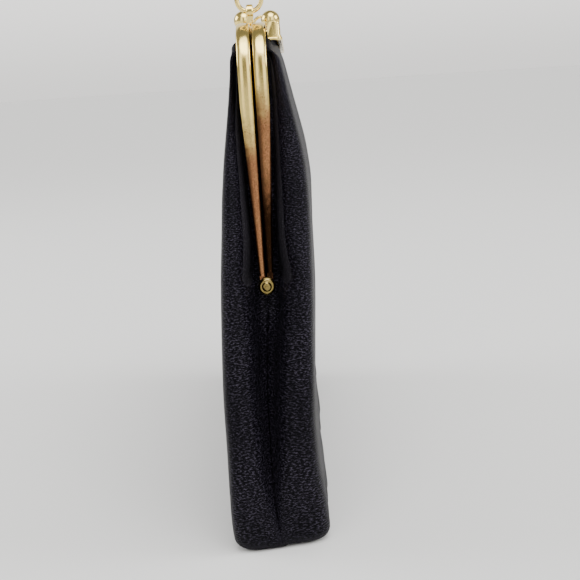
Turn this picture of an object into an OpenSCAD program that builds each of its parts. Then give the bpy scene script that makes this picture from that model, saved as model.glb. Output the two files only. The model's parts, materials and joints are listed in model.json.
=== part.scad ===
// Kiss-lock clutch purse: a satin bag hung from a two-rail metal frame that opens on two end rivets.
// Origin at the middle of the base. X along the purse, Y from front (-Y) to back (+Y), Z up. Millimetres.

/* [Frame] */
// Length of the frame over its two legs
frame_w = 206; // [190:1:220]
// Height of the frame's top above the hinge rivets
frame_drop = 76; // [66:1:86]
// Height of the hinge rivets above the base
hinge_z = 80; // [70:1:90]
// Height of a rail's section, and width of a leg seen from the front
rail_h = 6; // [5:0.5:7]
// Thickness of a rail front to back, at the top
rail_t = 4; // [3.5:0.1:4.6]
// Thickness of a leg front to back, at its hinge end
rail_end_t = 1.7; // [1.5:0.1:2.2]
// Gap between the two closed rails
rail_gap = 0.6; // [0.4:0.1:0.8]
// Wall of the rails and of the front bar
rail_wall = 0.6; // [0.5:0.05:0.7]
// Outer radius of the frame's top corners
corner_r = 14; // [10:1:18]

/* [Hinge] */
// Diameter of the rivets' shank
rivet_d = 1.8; // [1.6:0.1:2]
// Diameter of the rivets' domed heads
rivet_head_d = 5.2; // [4.8:0.1:5.6]
// Diameter of the eyes at the rails' ends
eye_d = 4.4; // [4:0.1:4.6]

/* [Clasp and rings] */
// Diameter of the two clasp balls
ball_d = 7; // [6:0.5:8]
// Distance of each ball's centre from the frame's middle plane
ball_reach = 4.8; // [4.5:0.1:5.5]
// Outer diameter of a ring
ring_d = 8.6; // [8:0.1:9]
// Diameter of the rings' wire
ring_wire_d = 1.4; // [1.2:0.1:1.4]

/* [Front bar] */
// Length of the front bar
bar_w = 190; // [170:1:192]
// Thickness of the front bar front to back
bar_t = 3.7; // [3.5:0.1:4]
// Height of the front bar
bar_h = 5.6; // [5:0.1:6]

/* [Bag] */
// Length of the bag at its base
bag_w = 220; // [216:1:230]
// Length of the bag at hinge level
waist_w = 214; // [212:1:216]
// Depth of the bag at its base
bag_d = 29.2; // [28:0.2:32]
// Depth of the bag at hinge level
waist_d = 27.2; // [26:0.2:28]
// How far each rail half opens, in degrees
open_deg = 30; // [20:1:30]

/* [Hidden] */

$fn = 48;
fine_fn = 96;
gold = [0.86, 0.72, 0.42];
satin = [0.06, 0.06, 0.08];
lining = [0.10, 0.09, 0.11];
cloth_white = [0.85, 0.83, 0.78];
card = [0.45, 0.38, 0.28];

top_z = hinge_z + frame_drop;
rail_in = rail_gap / 2;                // a rail's inner face, from the middle plane
rail_out = rail_in + rail_t;           // a rail's outer face at the top
leg_end_z = hinge_z + 3;               // where the legs give way to the eyes
eye_t = 0.8;                           // thickness of an eye
eye_gap = 0.5;                         // room between the two eyes of a hinge, for the washer
eye_x = frame_w / 2 - eye_t;           // inner face of the front rail's eye
back_eye_x = eye_x - eye_gap - eye_t;  // inner face of the back rail's eye
washer_t = 0.4;
pin_clear = 0.05;                      // radial clearance of a rivet or a washer
cord_d = 1.7;
groove_in = rail_in + rail_wall;
groove_out = rail_out - rail_wall;
cord_y = (groove_in + groove_out) / 2 + 0.1;
cord_gap = 0.05;                       // room between a cord and its channel's outer wall
cord_z = top_z - rail_wall - cord_gap - cord_d / 2;
bar_y = rail_out + 0.5;                // the bar's back face, clear of the rail
bar_bottom = top_z - bar_h;
eye_hole_r = 1.1;
lug_r = 2.1;
lug_t = 1.5;
lug_stem_w = 3;
lug_x = frame_w / 2 - corner_r;
lug_rise = 3.2;                        // height of a lug's eye above the rail
lug_z = top_z + lug_rise;
ring_r = (ring_d - ring_wire_d) / 2;
ball_x = ball_d / 2 + 0.3;
ball_z = top_z + 4.8;
arm_d = 2.2;
satin_t = 0.8;
lining_t = 0.5;
buckram_t = 0.8;
base_z = 0.8;                          // thickness of the satin under the bag
board_t = 1.6;
board_gap = 1.5;                       // room between the board and the interlinings
lower_top = hinge_z + 0.6;             // top edge of the lower panels
belly_z = 34;                          // where the lower panels start to lean in
fold_clear = 0.7;                      // room left between the lower panels and the opened halves
side_in = 5;                           // gap between the linings and the satin ends
stiff_in = 20;                         // gap between the interlinings and the satin ends
stiff_top = hinge_z - 11;              // top edge of the interlinings
notch_r = eye_d / 2 + 1;               // round notch in the satin ends, clear of the rivet and the eyes

// The outer face of the upper front satin, from the bar down: [distance from the middle plane, height]
front_curve = [
    [bar_y + bar_t - 0.7, top_z - 4.6], [bar_y + bar_t - 0.7, bar_bottom - 0.1],
    [9.3, top_z - 10], [11.6, top_z - 21], [13.3, top_z - 32], [13.9, top_z - 45], [13.9, hinge_z]
];
// The same for the back satin, which starts inside the back rail
back_curve = [
    [groove_out - 0.1, top_z - 4.6], [groove_out - 0.1, top_z - 6.2], [6.4, top_z - 10],
    [8.4, top_z - 21], [10.6, top_z - 37], [12.2, top_z - 54], [13.4, hinge_z]
];
// The linings' outer faces, from the channels down
lining_curve = [
    [groove_in + 0.7, top_z - 3.6], [groove_in + 0.7, top_z - 7], [4.2, top_z - 12],
    [7.2, top_z - 24], [9.4, top_z - 40], [11.2, top_z - 58], [12, hinge_z]
];

// Lays a YZ outline along X between two stations; side is -1 for the front and 1 for the back.
module along_x(x0, x1, side) {
    translate([x0, 0, 0])
        scale([1, side, 1])
            rotate([90, 0, 90])
                linear_extrude(height = x1 - x0)
                    children();
}

// Swaps an XZ outline into place, from y0 to y1 on one side.
module across_y(y0, y1, side) {
    translate([0, side > 0 ? y1 : -y0, 0])
        rotate([90, 0, 0])
            linear_extrude(height = y1 - y0)
                children();
}

// A sheet of even thickness whose outer face follows a curve, as a YZ outline.
module sheet_outline(curve, thick) {
    inner = [for (i = [len(curve) - 1:-1:0]) [curve[i].x - thick, curve[i].y]];
    polygon(concat(curve, inner));
}

// The part of the YZ plane that stays above the lower panels when a half is open.
module swing_room() {
    reach = 40;
    floor_z = hinge_z + fold_clear / cos(open_deg) + 0.6;
    polygon([
        [0, floor_z], [reach, floor_z + reach * tan(open_deg)], [reach, top_z + 20], [0, top_z + 20]
    ]);
}

/* ---- metal ---- */

// The upside-down U of a rail, as an XZ outline; inset shrinks its outer edge and band sets its width.
module rail_band(inset, band) {
    outer_x = frame_w / 2 - inset;
    inner_x = outer_x - band;
    difference() {
        rail_plate(outer_x, top_z - inset, corner_r - inset, leg_end_z);
        rail_plate(inner_x, top_z - inset - band, max(corner_r - inset - band, 1), leg_end_z - 1);
    }
}

module rail_plate(half, z_top, r, z_bottom) {
    translate([-half, z_bottom])
        square([2 * half, z_top - r - z_bottom]);
    translate([-half + r, z_bottom])
        square([2 * (half - r), z_top - z_bottom]);
    for (sx = [-1, 1])
        translate([sx * (half - r), z_top - r])
            circle(r = r, $fn = fine_fn);
}

// The wedge that a rail fills in the YZ plane, thinned by a wall on each face.
module rail_wedge(wall) {
    polygon([
        [rail_in + wall, leg_end_z - 2], [rail_in + rail_end_t - wall, leg_end_z - 2],
        [rail_in + rail_end_t - wall, leg_end_z], [rail_out - wall, top_z - 24],
        [rail_out - wall, top_z + 1], [rail_in + wall, top_z + 1]
    ]);
}

module rail_body(side) {
    intersection() {
        across_y(0, rail_out + 1, side) rail_band(0, rail_h);
        along_x(-frame_w, frame_w, side) rail_wedge(0);
    }
}

module rail_groove(side) {
    intersection() {
        across_y(0, rail_out + 1, side) rail_band(rail_wall, rail_h);
        along_x(-frame_w, frame_w, side) rail_wedge(rail_wall);
    }
}

// A pierced eye and the neck that joins it to a leg; x0 is its inner face on the right-hand end.
module hinge_eye(x0, side) {
    neck_y = rail_in + rail_end_t;
    for (sx = [-1, 1])
        translate([sx > 0 ? x0 : -x0 - eye_t, 0, hinge_z])
            difference() {
                union() {
                    rotate([0, 90, 0]) cylinder(d = eye_d, h = eye_t);
                    translate([0, side > 0 ? rail_in : -neck_y, 0])
                        cube([eye_t, rail_end_t, leg_end_z - hinge_z + 0.6]);
                }
                translate([-1, 0, 0])
                    rotate([0, 90, 0]) cylinder(d = rivet_d + 2 * pin_clear, h = eye_t + 2);
            }
}

module frame_rail(side, x0) {
    difference() {
        rail_body(side);
        rail_groove(side);
    }
    hinge_eye(x0, side);
}

module frame_rail_front() {
    color(gold)
        difference() {
            frame_rail(-1, eye_x);
            bar_rivet_shanks(rail_out + 1, 0);
        }
}

module frame_rail_back() {
    color(gold) frame_rail(1, back_eye_x);
}

// The channel that grips the top edge of the front satin, open downwards.
module front_bar() {
    lip = 0.6;
    color(gold)
        difference() {
            along_x(-bar_w / 2, bar_w / 2, -1)
                difference() {
                    translate([bar_y, bar_bottom]) square([bar_t, bar_h]);
                    translate([bar_y + rail_wall, bar_bottom - 1])
                        square([bar_t - 2 * rail_wall, bar_h + 1 - lip]);
                }
            bar_rivet_shanks(bar_y + rail_wall + 1, bar_y - 1);
        }
}

// The three shanks that cross the gap between the bar and the front rail.
module bar_rivet_shanks(y1, y0) {
    for (x = [-0.4, 0, 0.4] * bar_w)
        translate([x, -y1, top_z - 2.4])
            rotate([-90, 0, 0]) cylinder(d = 1.2, h = y1 - y0, $fn = 32);
}

module bar_rivets() {
    head_t = 0.4;
    color(gold) {
        bar_rivet_shanks(bar_y + rail_wall, groove_out);
        for (x = [-0.4, 0, 0.4] * bar_w) {
            translate([x, -(bar_y + rail_wall + head_t), top_z - 2.4])
                rotate([-90, 0, 0]) cylinder(d = 2, h = head_t, $fn = 32);
            translate([x, -groove_out, top_z - 2.4])
                rotate([-90, 0, 0]) cylinder(d = 2, h = head_t, $fn = 32);
        }
    }
}

// A rivet on the right-hand end: domed head outside, shank through both eyes, peened tail inside.
module rivet(sx) {
    head_x = frame_w / 2 + 0.1;
    tail_t = 0.8;
    tail_x = back_eye_x - 0.1 - tail_t;
    dome_h = 1.6;
    dome_r = (pow(rivet_head_d / 2, 2) + pow(dome_h, 2)) / (2 * dome_h);
    color(gold)
        translate([0, 0, hinge_z])
            rotate([0, sx * 90, 0])
                rotate_extrude($fn = fine_fn) {
                    translate([0, tail_x]) square([rivet_d / 2, head_x - tail_x]);
                    translate([0, tail_x]) square([1.7, tail_t]);
                    intersection() {
                        translate([0, head_x + dome_h - dome_r]) circle(r = dome_r);
                        translate([0, head_x]) square([rivet_head_d, dome_h]);
                    }
                }
}

module rivet_left() {
    rivet(-1);
}

module rivet_right() {
    rivet(1);
}

module hinge_washers() {
    color(gold)
        for (sx = [-1, 1])
            translate([sx * (eye_x - eye_gap / 2) - washer_t / 2, 0, hinge_z])
                rotate([0, 90, 0])
                    difference() {
                        cylinder(d = 4, h = washer_t);
                        translate([0, 0, -1]) cylinder(d = rivet_d, h = washer_t + 2);
                    }
}

// A stem from the top of one rail, leaning over the other; it stops inside its ball's socket.
module clasp_arm(side) {
    foot_y = rail_in + rail_t / 2;
    color(gold)
        intersection() {
            hull() {
                translate([side * ball_x, side * foot_y, top_z - 0.6]) cylinder(d = arm_d, h = 0.6, $fn = 32);
                translate([side * ball_x, side * foot_y, top_z + 1.2]) sphere(d = arm_d, $fn = 32);
                translate([side * ball_x, -side * ball_reach, ball_z]) sphere(d = 1.4, $fn = 32);
            }
            difference() {
                translate([side * ball_x - 5, -10, top_z]) cube([10, 20, 10]);
                translate([side * ball_x, -side * ball_reach, ball_z]) sphere(d = ball_d, $fn = fine_fn);
            }
        }
}

module clasp_arm_front() {
    clasp_arm(-1);
}

module clasp_arm_back() {
    clasp_arm(1);
}

module clasp_ball(side) {
    color(gold)
        translate([side * ball_x, -side * ball_reach, ball_z]) sphere(d = ball_d, $fn = fine_fn);
}

module clasp_ball_front() {
    clasp_ball(-1);
}

module clasp_ball_back() {
    clasp_ball(1);
}

// A pierced tab standing on the back rail, thin front to back.
module lug(sx) {
    color(gold)
        translate([sx * lug_x, 0, 0])
            difference() {
                union() {
                    translate([0, lug_t / 2, lug_z]) rotate([90, 0, 0]) cylinder(r = lug_r, h = lug_t);
                    translate([-lug_stem_w / 2, rail_in, top_z])
                        cube([lug_stem_w, lug_t / 2 - rail_in + 0.4, lug_rise - eye_hole_r - 0.1]);
                }
                translate([0, 2, lug_z]) rotate([90, 0, 0]) cylinder(r = eye_hole_r, h = 4);
                translate([-5, -5, top_z - 5]) cube([10, 5 + rail_in, 5.4]);
                translate([-5, -5, top_z - 5]) cube([10, 10, 5]);
            }
}

module lug_left() {
    lug(-1);
}

module lug_right() {
    lug(1);
}

module ring(sx) {
    color(gold)
        translate([sx * lug_x, 0, lug_z + ring_r])
            rotate([0, 90, 0])
                rotate_extrude($fn = fine_fn)
                    translate([ring_r, 0]) circle(d = ring_wire_d, $fn = 32);
}

module ring_left() {
    ring(-1);
}

module ring_right() {
    ring(1);
}

/* ---- soft parts ---- */

// The cord packed into a channel to hold the cloth: a straight run and two short turns down the legs.
module packing_cord(side) {
    turn_r = corner_r - rail_wall - cord_gap - cord_d / 2;
    run = frame_w / 2 - corner_r;
    tail = 8;
    color(cloth_white)
        translate([0, side * cord_y, 0]) {
            translate([-run, 0, cord_z]) rotate([0, 90, 0]) cylinder(d = cord_d, h = 2 * run, $fn = 24);
            for (sx = [-1, 1]) {
                translate([sx * run, 0, cord_z - turn_r])
                    rotate([90, 0, 0])
                        rotate([0, 0, sx > 0 ? 0 : 90])
                            rotate_extrude(angle = 90, $fn = fine_fn)
                                translate([turn_r, 0]) circle(d = cord_d, $fn = 24);
                translate([sx * (run + turn_r), 0, cord_z - turn_r - tail])
                    cylinder(d = cord_d, h = tail, $fn = 24);
            }
        }
}

module packing_cord_front() {
    packing_cord(-1);
}

module packing_cord_back() {
    packing_cord(1);
}

// An upper panel: a curved sheet between two end walls that close against the rail's legs.
module satin_upper(side, curve) {
    end_out = waist_w / 2 - 0.6;
    shoulder_z = top_z - 9;
    color(satin) {
        along_x(-end_out, end_out, side)
            intersection() {
                sheet_outline(curve, satin_t);
                swing_room();
                square([40, shoulder_z]);
            }
        along_x(-bar_w / 2 + 4, bar_w / 2 - 4, side)
            intersection() {
                sheet_outline(curve, satin_t);
                translate([0, shoulder_z - 0.01]) square([40, 20]);
            }
        for (x0 = [-end_out, end_out - satin_t])
            along_x(x0, x0 + satin_t, side)
                intersection() {
                    end_wall_outline(curve, shoulder_z);
                    swing_room();
                }
    }
}

// The end wall between a curved sheet and the leg's wedge.
module end_wall_outline(curve, shoulder_z) {
    intersection() {
        polygon(concat(curve, [[rail_in + 1, hinge_z], [rail_out, top_z - 24], [rail_out, top_z]]));
        square([40, shoulder_z]);
    }
}

module satin_front_upper() {
    satin_upper(-1, front_curve);
}

module satin_back_upper() {
    satin_upper(1, back_curve);
}

// Half the bag's length at a height below the hinges.
function half_w(z) = bag_w / 2 + (waist_w - bag_w) / 2 * z / lower_top;

// A lower panel: widest and deepest near the base, drawn in towards the hinges.
module lower_panel(side, back_off, thick, z0, z1, side_gap) {
    out_top = waist_d / 2 - back_off;
    out_low = bag_d / 2 - back_off;
    intersection() {
        along_x(-bag_w, bag_w, side)
            polygon([
                [out_low, z0], [out_low, belly_z], [out_top, lower_top],
                [out_top - thick, lower_top], [out_low - thick, belly_z], [out_low - thick, z0]
            ]);
        across_y(0, bag_d, side)
            polygon([
                [-half_w(z0) + side_gap, z0], [half_w(z0) - side_gap, z0],
                [half_w(z1) - side_gap, z1], [-half_w(z1) + side_gap, z1]
            ]);
    }
}

// A lower satin panel turns in at both ends and meets the other one at a seam in the end's valley.
module satin_lower(side) {
    color(satin) {
        lower_panel(side, 0, satin_t, 0, lower_top, 0);
        for (sx = [-1, 1])
            scale([sx, 1, 1]) end_leaf(side);
    }
}

module satin_front_lower() {
    satin_lower(-1);
}

module satin_back_lower() {
    satin_lower(1);
}

module interlining_front() {
    color(cloth_white) lower_panel(-1, satin_t, buckram_t, base_z, stiff_top, stiff_in);
}

module interlining_back() {
    color(cloth_white) lower_panel(1, satin_t, buckram_t, base_z, stiff_top, stiff_in);
}

module lining_front_lower() {
    color(lining) lower_panel(-1, satin_t + buckram_t, lining_t, base_z + board_t, lower_top - 2, side_in);
}

module lining_back_lower() {
    color(lining) lower_panel(1, satin_t + buckram_t, lining_t, base_z + board_t, lower_top - 2, side_in);
}

// Half of a folded end: a flat leaf from the panel's edge in to the seam behind the rivet.
module end_leaf(side) {
    difference() {
        whole_leaf(side);
        translate([0, 0, hinge_z]) rotate([0, 90, 0]) cylinder(r = notch_r, h = bag_w / 2);
    }
}

module whole_leaf(side) {
    valley_x = back_eye_x - 0.9;
    top_out = waist_w / 2;
    low_out = bag_w / 2;
    corner_y = bag_d / 2 - satin_t;
    intersection() {
        translate([0, 0, base_z])
            linear_extrude(height = lower_top - base_z)
                scale([1, side])
                    polygon([
                        [low_out, corner_y], [valley_x, 0.6], [valley_x, 0],
                        [valley_x - satin_t, 0], [valley_x - satin_t, 0.6], [low_out - 3, corner_y]
                    ]);
        across_y(-bag_d, bag_d, 1)
            polygon([[0, 0], [low_out, 0], [top_out, lower_top], [0, lower_top]]);
        lower_room();
    }
}

// The space between the front and back lower panels.
module lower_room() {
    inner_top = waist_d / 2 - satin_t;
    inner_low = bag_d / 2 - satin_t;
    along_x(0, bag_w, 1)
        polygon([
            [-inner_low, 0], [inner_low, 0], [inner_low, belly_z], [inner_top, lower_top],
            [-inner_top, lower_top], [-inner_low, belly_z]
        ]);
}

module satin_bottom() {
    depth = bag_d - 2 * satin_t;
    color(satin) translate([-bag_w / 2, -depth / 2, 0]) cube([bag_w, depth, base_z]);
}

module base_board() {
    depth = bag_d - 2 * (satin_t + buckram_t + board_gap);
    length = 2 * (back_eye_x - 3);
    color(card) translate([-length / 2, -depth / 2, base_z]) cube([length, depth, board_t]);
}

// An upper lining panel, from inside a channel down to hinge level.
module lining_upper(side) {
    length = 2 * (frame_w / 2 - rail_h - 1.5);
    color(lining)
        along_x(-length / 2, length / 2, side)
            intersection() {
                sheet_outline(lining_curve, lining_t);
                swing_room();
            }
}

module lining_front_upper() {
    lining_upper(-1);
}

module lining_back_upper() {
    lining_upper(1);
}

frame_rail_front();
frame_rail_back();
front_bar();
bar_rivets();
rivet_left();
rivet_right();
hinge_washers();
clasp_arm_front();
clasp_arm_back();
clasp_ball_front();
clasp_ball_back();
lug_left();
lug_right();
ring_left();
ring_right();
packing_cord_front();
packing_cord_back();
satin_front_upper();
satin_back_upper();
satin_front_lower();
satin_back_lower();
satin_bottom();
interlining_front();
interlining_back();
lining_front_upper();
lining_back_upper();
lining_front_lower();
lining_back_lower();
base_board();
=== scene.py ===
"""A black satin clutch on a polished kiss-lock frame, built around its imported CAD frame."""

import json
import math

import bmesh
import bpy
from bpy.props import FloatProperty, FloatVectorProperty, IntProperty, PointerProperty
from bpy.types import Operator, Panel, PropertyGroup
from mathutils import Matrix, Vector


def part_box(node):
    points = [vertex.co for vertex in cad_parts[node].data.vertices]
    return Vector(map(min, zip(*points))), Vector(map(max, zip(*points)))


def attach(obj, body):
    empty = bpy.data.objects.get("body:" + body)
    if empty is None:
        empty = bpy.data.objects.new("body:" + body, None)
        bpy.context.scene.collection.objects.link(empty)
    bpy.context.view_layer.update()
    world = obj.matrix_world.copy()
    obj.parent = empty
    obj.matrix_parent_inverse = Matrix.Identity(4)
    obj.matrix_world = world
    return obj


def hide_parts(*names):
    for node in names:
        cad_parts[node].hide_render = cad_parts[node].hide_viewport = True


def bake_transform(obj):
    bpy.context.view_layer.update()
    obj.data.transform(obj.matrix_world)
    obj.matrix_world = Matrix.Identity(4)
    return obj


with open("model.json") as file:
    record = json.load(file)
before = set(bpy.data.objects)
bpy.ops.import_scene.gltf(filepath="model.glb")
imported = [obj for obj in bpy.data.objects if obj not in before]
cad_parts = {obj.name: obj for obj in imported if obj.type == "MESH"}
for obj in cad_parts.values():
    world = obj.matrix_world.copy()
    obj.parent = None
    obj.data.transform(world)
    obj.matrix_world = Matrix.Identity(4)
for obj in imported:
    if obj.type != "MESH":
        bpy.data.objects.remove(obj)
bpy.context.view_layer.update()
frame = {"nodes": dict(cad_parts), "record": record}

bl_info = {
    "name": "Kiss-lock clutch",
    "version": (1, 0, 0),
    "blender": (4, 5, 0),
    "location": "View3D > Sidebar > Clutch",
    "description": "Builds a satin clutch purse on its metal frame",
    "category": "Add Mesh",
}

MM = 0.001
FRONT, BACK = -1, 1
JOINTS = {joint["name"]: joint for joint in frame["record"]["behaviour"]["joints"]}

RAIL_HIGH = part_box("frame_rail_back")[1]
BAR_LOW, BAR_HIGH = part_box("front_bar")
HINGE_Z = JOINTS["front_hinge"]["pos_m"][2]
HALF_FRAME = RAIL_HIGH.x
TOP_Z = RAIL_HIGH.z
RAIL_IN = 0.3 * MM
RAIL_OUT = RAIL_HIGH.y
BAND = 6 * MM
LEG_END_Z = HINGE_Z + 3 * MM
CORNER_R = 14 * MM
END_RAIL_T = 1.7 * MM
TAPER_TOP_Z = TOP_Z - 24 * MM
EYE_T, EYE_R, EYE_GAP = 0.8 * MM, 2.2 * MM, 0.5 * MM


# ---- small helpers ----


def smooth(t):
    """A smooth step from 0 to 1 over t from 0 to 1."""
    t = min(max(t, 0.0), 1.0)
    return t * t * (3 - 2 * t)


def along(stations, x):
    """Reads an outline, given as (position, value) pairs, with straight runs between them."""
    if x <= stations[0][0]:
        return stations[0][1]
    for (x0, y0), (x1, y1) in zip(stations, stations[1:]):
        if x <= x1:
            return y0 + (y1 - y0) * (x - x0) / (x1 - x0)
    return stations[-1][1]


def eased(stations, x, reach=5 * MM):
    """The outline's mean over a short reach, which rounds its corners."""
    steps = (-1.0, -0.5, 0.0, 0.5, 1.0)
    return sum(along(stations, x + step * reach) for step in steps) / len(steps)


def new_piece(name, bm, material, shade=True):
    """Turns a bmesh into an object of its own with one material."""
    mesh = bpy.data.meshes.new(name)
    bm.to_mesh(mesh)
    bm.free()
    for face in mesh.polygons:
        face.use_smooth = shade
    mesh.materials.append(material)
    piece = bpy.data.objects.new(name, mesh)
    bpy.context.collection.objects.link(piece)
    return piece


def sharp_edges(bm, angle):
    """Marks the edges that turn more than the angle, so that smooth shading stops at them."""
    for edge in bm.edges:
        edge.smooth = not (len(edge.link_faces) == 2 and edge.calc_face_angle(0) > angle)


def closed_ring(bm, points):
    """A closed ring of edges through a few points."""
    verts = [bm.verts.new(point) for point in points]
    return [bm.edges.new((a, b)) for a, b in zip(verts, verts[1:] + verts[:1])]


def sweep(bm, edges, places, capped=True):
    """Carries a ring of edges through a list of matrices; the ring starts at the first one."""
    first = list(edges)
    for before, after in zip(places, places[1:]):
        made = bmesh.ops.extrude_edge_only(bm, edges=edges)["geom"]
        verts = [item for item in made if isinstance(item, bmesh.types.BMVert)]
        edges = [item for item in made if isinstance(item, bmesh.types.BMEdge)]
        bmesh.ops.transform(bm, matrix=after @ before.inverted(), verts=verts)
    if capped:
        for ring in (first, edges):
            bmesh.ops.contextual_create(bm, geom=ring)
    bmesh.ops.recalc_face_normals(bm, faces=bm.faces)


def ring_verts(edges):
    """The vertices of a ring of edges."""
    return list({vert for edge in edges for vert in edge.verts})


def bevelled(bm, edges, offset):
    """Rounds some edges over."""
    bmesh.ops.bevel(
        bm, geom=list(edges), offset=offset, segments=2, profile=0.5, affect="EDGES", material=-1
    )


def turned(bm, profile, place, steps=48):
    """Spins a profile of (radius, height) points about its own axis, then puts it in place."""
    others = set(bm.verts)
    verts = [bm.verts.new((radius, 0, height)) for radius, height in profile]
    edges = [bm.edges.new(pair) for pair in zip(verts, verts[1:])]
    bmesh.ops.spin(
        bm, geom=verts + edges, cent=(0, 0, 0), axis=(0, 0, 1), angle=math.tau,
        steps=steps, use_merge=True, use_duplicate=False,
    )
    bmesh.ops.remove_doubles(bm, verts=[v for v in bm.verts if v not in others], dist=1e-6)
    made = [v for v in bm.verts if v not in others]
    bmesh.ops.transform(bm, matrix=place, verts=made)
    bmesh.ops.recalc_face_normals(bm, faces=bm.faces)


def thicken(bm, thickness):
    """Gives an open sheet an inner face and a rim, straight in along the vertex normals."""
    bm.normal_update()
    bm.verts.index_update()
    inward = [-v.normal * thickness for v in bm.verts]
    first = bm.verts.layers.int.new("first")
    for vert in bm.verts:
        vert[first] = vert.index
    made = bmesh.ops.extrude_face_region(bm, geom=bm.faces[:], use_keep_orig=True)["geom"]
    for vert in made:
        if isinstance(vert, bmesh.types.BMVert):
            vert.co += inward[vert[first]]
    bm.verts.layers.int.remove(first)
    bmesh.ops.recalc_face_normals(bm, faces=bm.faces)


def spline(points, t):
    """A point on the clamped cubic B-spline of some control points, for t from 0 to 1."""
    spans = len(points) - 3
    knots = [0, 0, 0, *range(spans + 1), spans, spans, spans]
    where = min(max(t, 0.0) * spans, spans - 1e-9)
    span = int(where)
    near = [point.copy() for point in points[span:span + 4]]
    for level in (1, 2, 3):
        for i in range(3, level - 1, -1):
            low, high = knots[span + i], knots[span + i + 4 - level]
            near[i] = near[i - 1].lerp(near[i], (where - low) / (high - low))
    return near[3]


def at(x, y, z):
    """The matrix of a move."""
    return Matrix.Translation((x, y, z))


# ---- materials ----


def node(tree, kind, **values):
    """Adds a shader node; values are its sockets by name, with _ for a space."""
    made = tree.nodes.new(kind)
    for key, value in values.items():
        made.inputs[key.replace("_", " ")].default_value = value
    return made


def new_material(name):
    """A material, with its node tree and its Principled shader."""
    material = bpy.data.materials.new(name)
    material.use_nodes = True
    return material, material.node_tree, material.node_tree.nodes["Principled BSDF"]


def new_group(name, setting, default):
    """A node group that takes a vector and one number, and the outputs of its input node."""
    tree = bpy.data.node_groups.new(name, "ShaderNodeTree")
    tree.interface.new_socket("Vector", in_out="INPUT", socket_type="NodeSocketVector")
    number = tree.interface.new_socket(setting, in_out="INPUT", socket_type="NodeSocketFloat")
    number.default_value = default
    return tree, tree.nodes.new("NodeGroupInput").outputs


def give(tree, **results):
    """Ends a node group with an output for each of the named sockets."""
    for name in results:
        tree.interface.new_socket(name, in_out="OUTPUT", socket_type="NodeSocketFloat")
    end = tree.nodes.new("NodeGroupOutput")
    for name, socket in results.items():
        tree.links.new(socket, end.inputs[name])
    return tree


def use_group(tree, group, vector):
    """Adds a node group that reads a vector."""
    made = tree.nodes.new("ShaderNodeGroup")
    made.node_tree = group
    tree.links.new(vector, made.inputs["Vector"])
    return made


def split_xyz(tree, vector):
    """The three parts of a vector."""
    made = tree.nodes.new("ShaderNodeSeparateXYZ")
    tree.links.new(vector, made.inputs[0])
    return made.outputs


def noise(tree, vector, scale, detail, roughness=0.5, turn=0.0):
    """Noise at a vector; a scale of three numbers stretches it, turned about Z."""
    if isinstance(scale, tuple):
        stretch = node(tree, "ShaderNodeMapping", Scale=scale, Rotation=(0.0, 0.0, turn))
        tree.links.new(vector, stretch.inputs["Vector"])
        vector, scale = stretch.outputs[0], 1.0
    made = node(tree, "ShaderNodeTexNoise", Scale=scale, Detail=detail, Roughness=roughness)
    tree.links.new(vector, made.inputs["Vector"])
    return made.outputs[0]


def ramp(tree, value, low, high, value_low=0.0, value_high=1.0, kind="LINEAR"):
    """Carries a socket from one range to another and holds it beyond the range's ends."""
    made = node(
        tree, "ShaderNodeMapRange", From_Min=low, From_Max=high, To_Min=value_low, To_Max=value_high
    )
    made.interpolation_type = kind
    tree.links.new(value, made.inputs["Value"])
    return made.outputs[0]


def eased_ramp(tree, value, low, high, value_low, value_high):
    """A soft step of a socket from one value to another."""
    return ramp(tree, value, low, high, value_low, value_high, "SMOOTHSTEP")


def maths(tree, operation, *values):
    """A maths node fed by sockets or plain numbers."""
    made = tree.nodes.new("ShaderNodeMath")
    made.operation = operation
    for socket, value in zip(made.inputs, values):
        if isinstance(value, (int, float)):
            socket.default_value = value
        else:
            tree.links.new(value, socket)
    return made.outputs[0]


def blend_colour(tree, share, low, high):
    """Mixes two colours by a mask; low and high are sockets or colours."""
    made = tree.nodes.new("ShaderNodeMix")
    made.data_type = "RGBA"
    tree.links.new(share, made.inputs["Factor"])
    for socket, value in ((made.inputs[6], low), (made.inputs[7], high)):
        if isinstance(value, (tuple, list)):
            socket.default_value = (*value[:3], 1.0)
        else:
            tree.links.new(value, socket)
    return made.outputs[2]


def shade(colour, share):
    """A colour made darker or lighter."""
    return tuple(share * part for part in colour)


def raise_surface(tree, shader, height, strength, distance):
    """Gives a shader a bump from a height mask."""
    raised = node(tree, "ShaderNodeBump", Strength=strength, Distance=distance)
    tree.links.new(height, raised.inputs["Height"])
    tree.links.new(raised.outputs[0], shader.inputs["Normal"])


def weave_group():
    """Satin threads: fine wandering ribs with broken threads, slanting slubs and a slow cloud."""
    tree, start = new_group("Satin weave", "Ribs per metre", 1900.0)
    vector = start["Vector"]
    shift = maths(tree, "MULTIPLY", noise(tree, vector, 260.0, 2.0), 1.1 * MM)
    height = maths(tree, "ADD", split_xyz(tree, vector)[1], shift)
    phase = maths(tree, "MULTIPLY", height, start["Ribs per metre"])
    ribs = maths(tree, "SINE", maths(tree, "MULTIPLY", phase, math.tau))
    broken = maths(tree, "MULTIPLY", noise(tree, vector, (480.0, 2300.0, 1.0), 2.0, 0.6), 1.6)
    threads = maths(tree, "MULTIPLY_ADD", ribs, 0.35, broken)
    slubs = noise(tree, vector, (680.0, 2500.0, 1.0), 3.0, 0.7, turn=math.radians(14))
    return give(tree, Threads=threads, Slubs=slubs, Cloud=noise(tree, vector, 38.0, 4.0))


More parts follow.
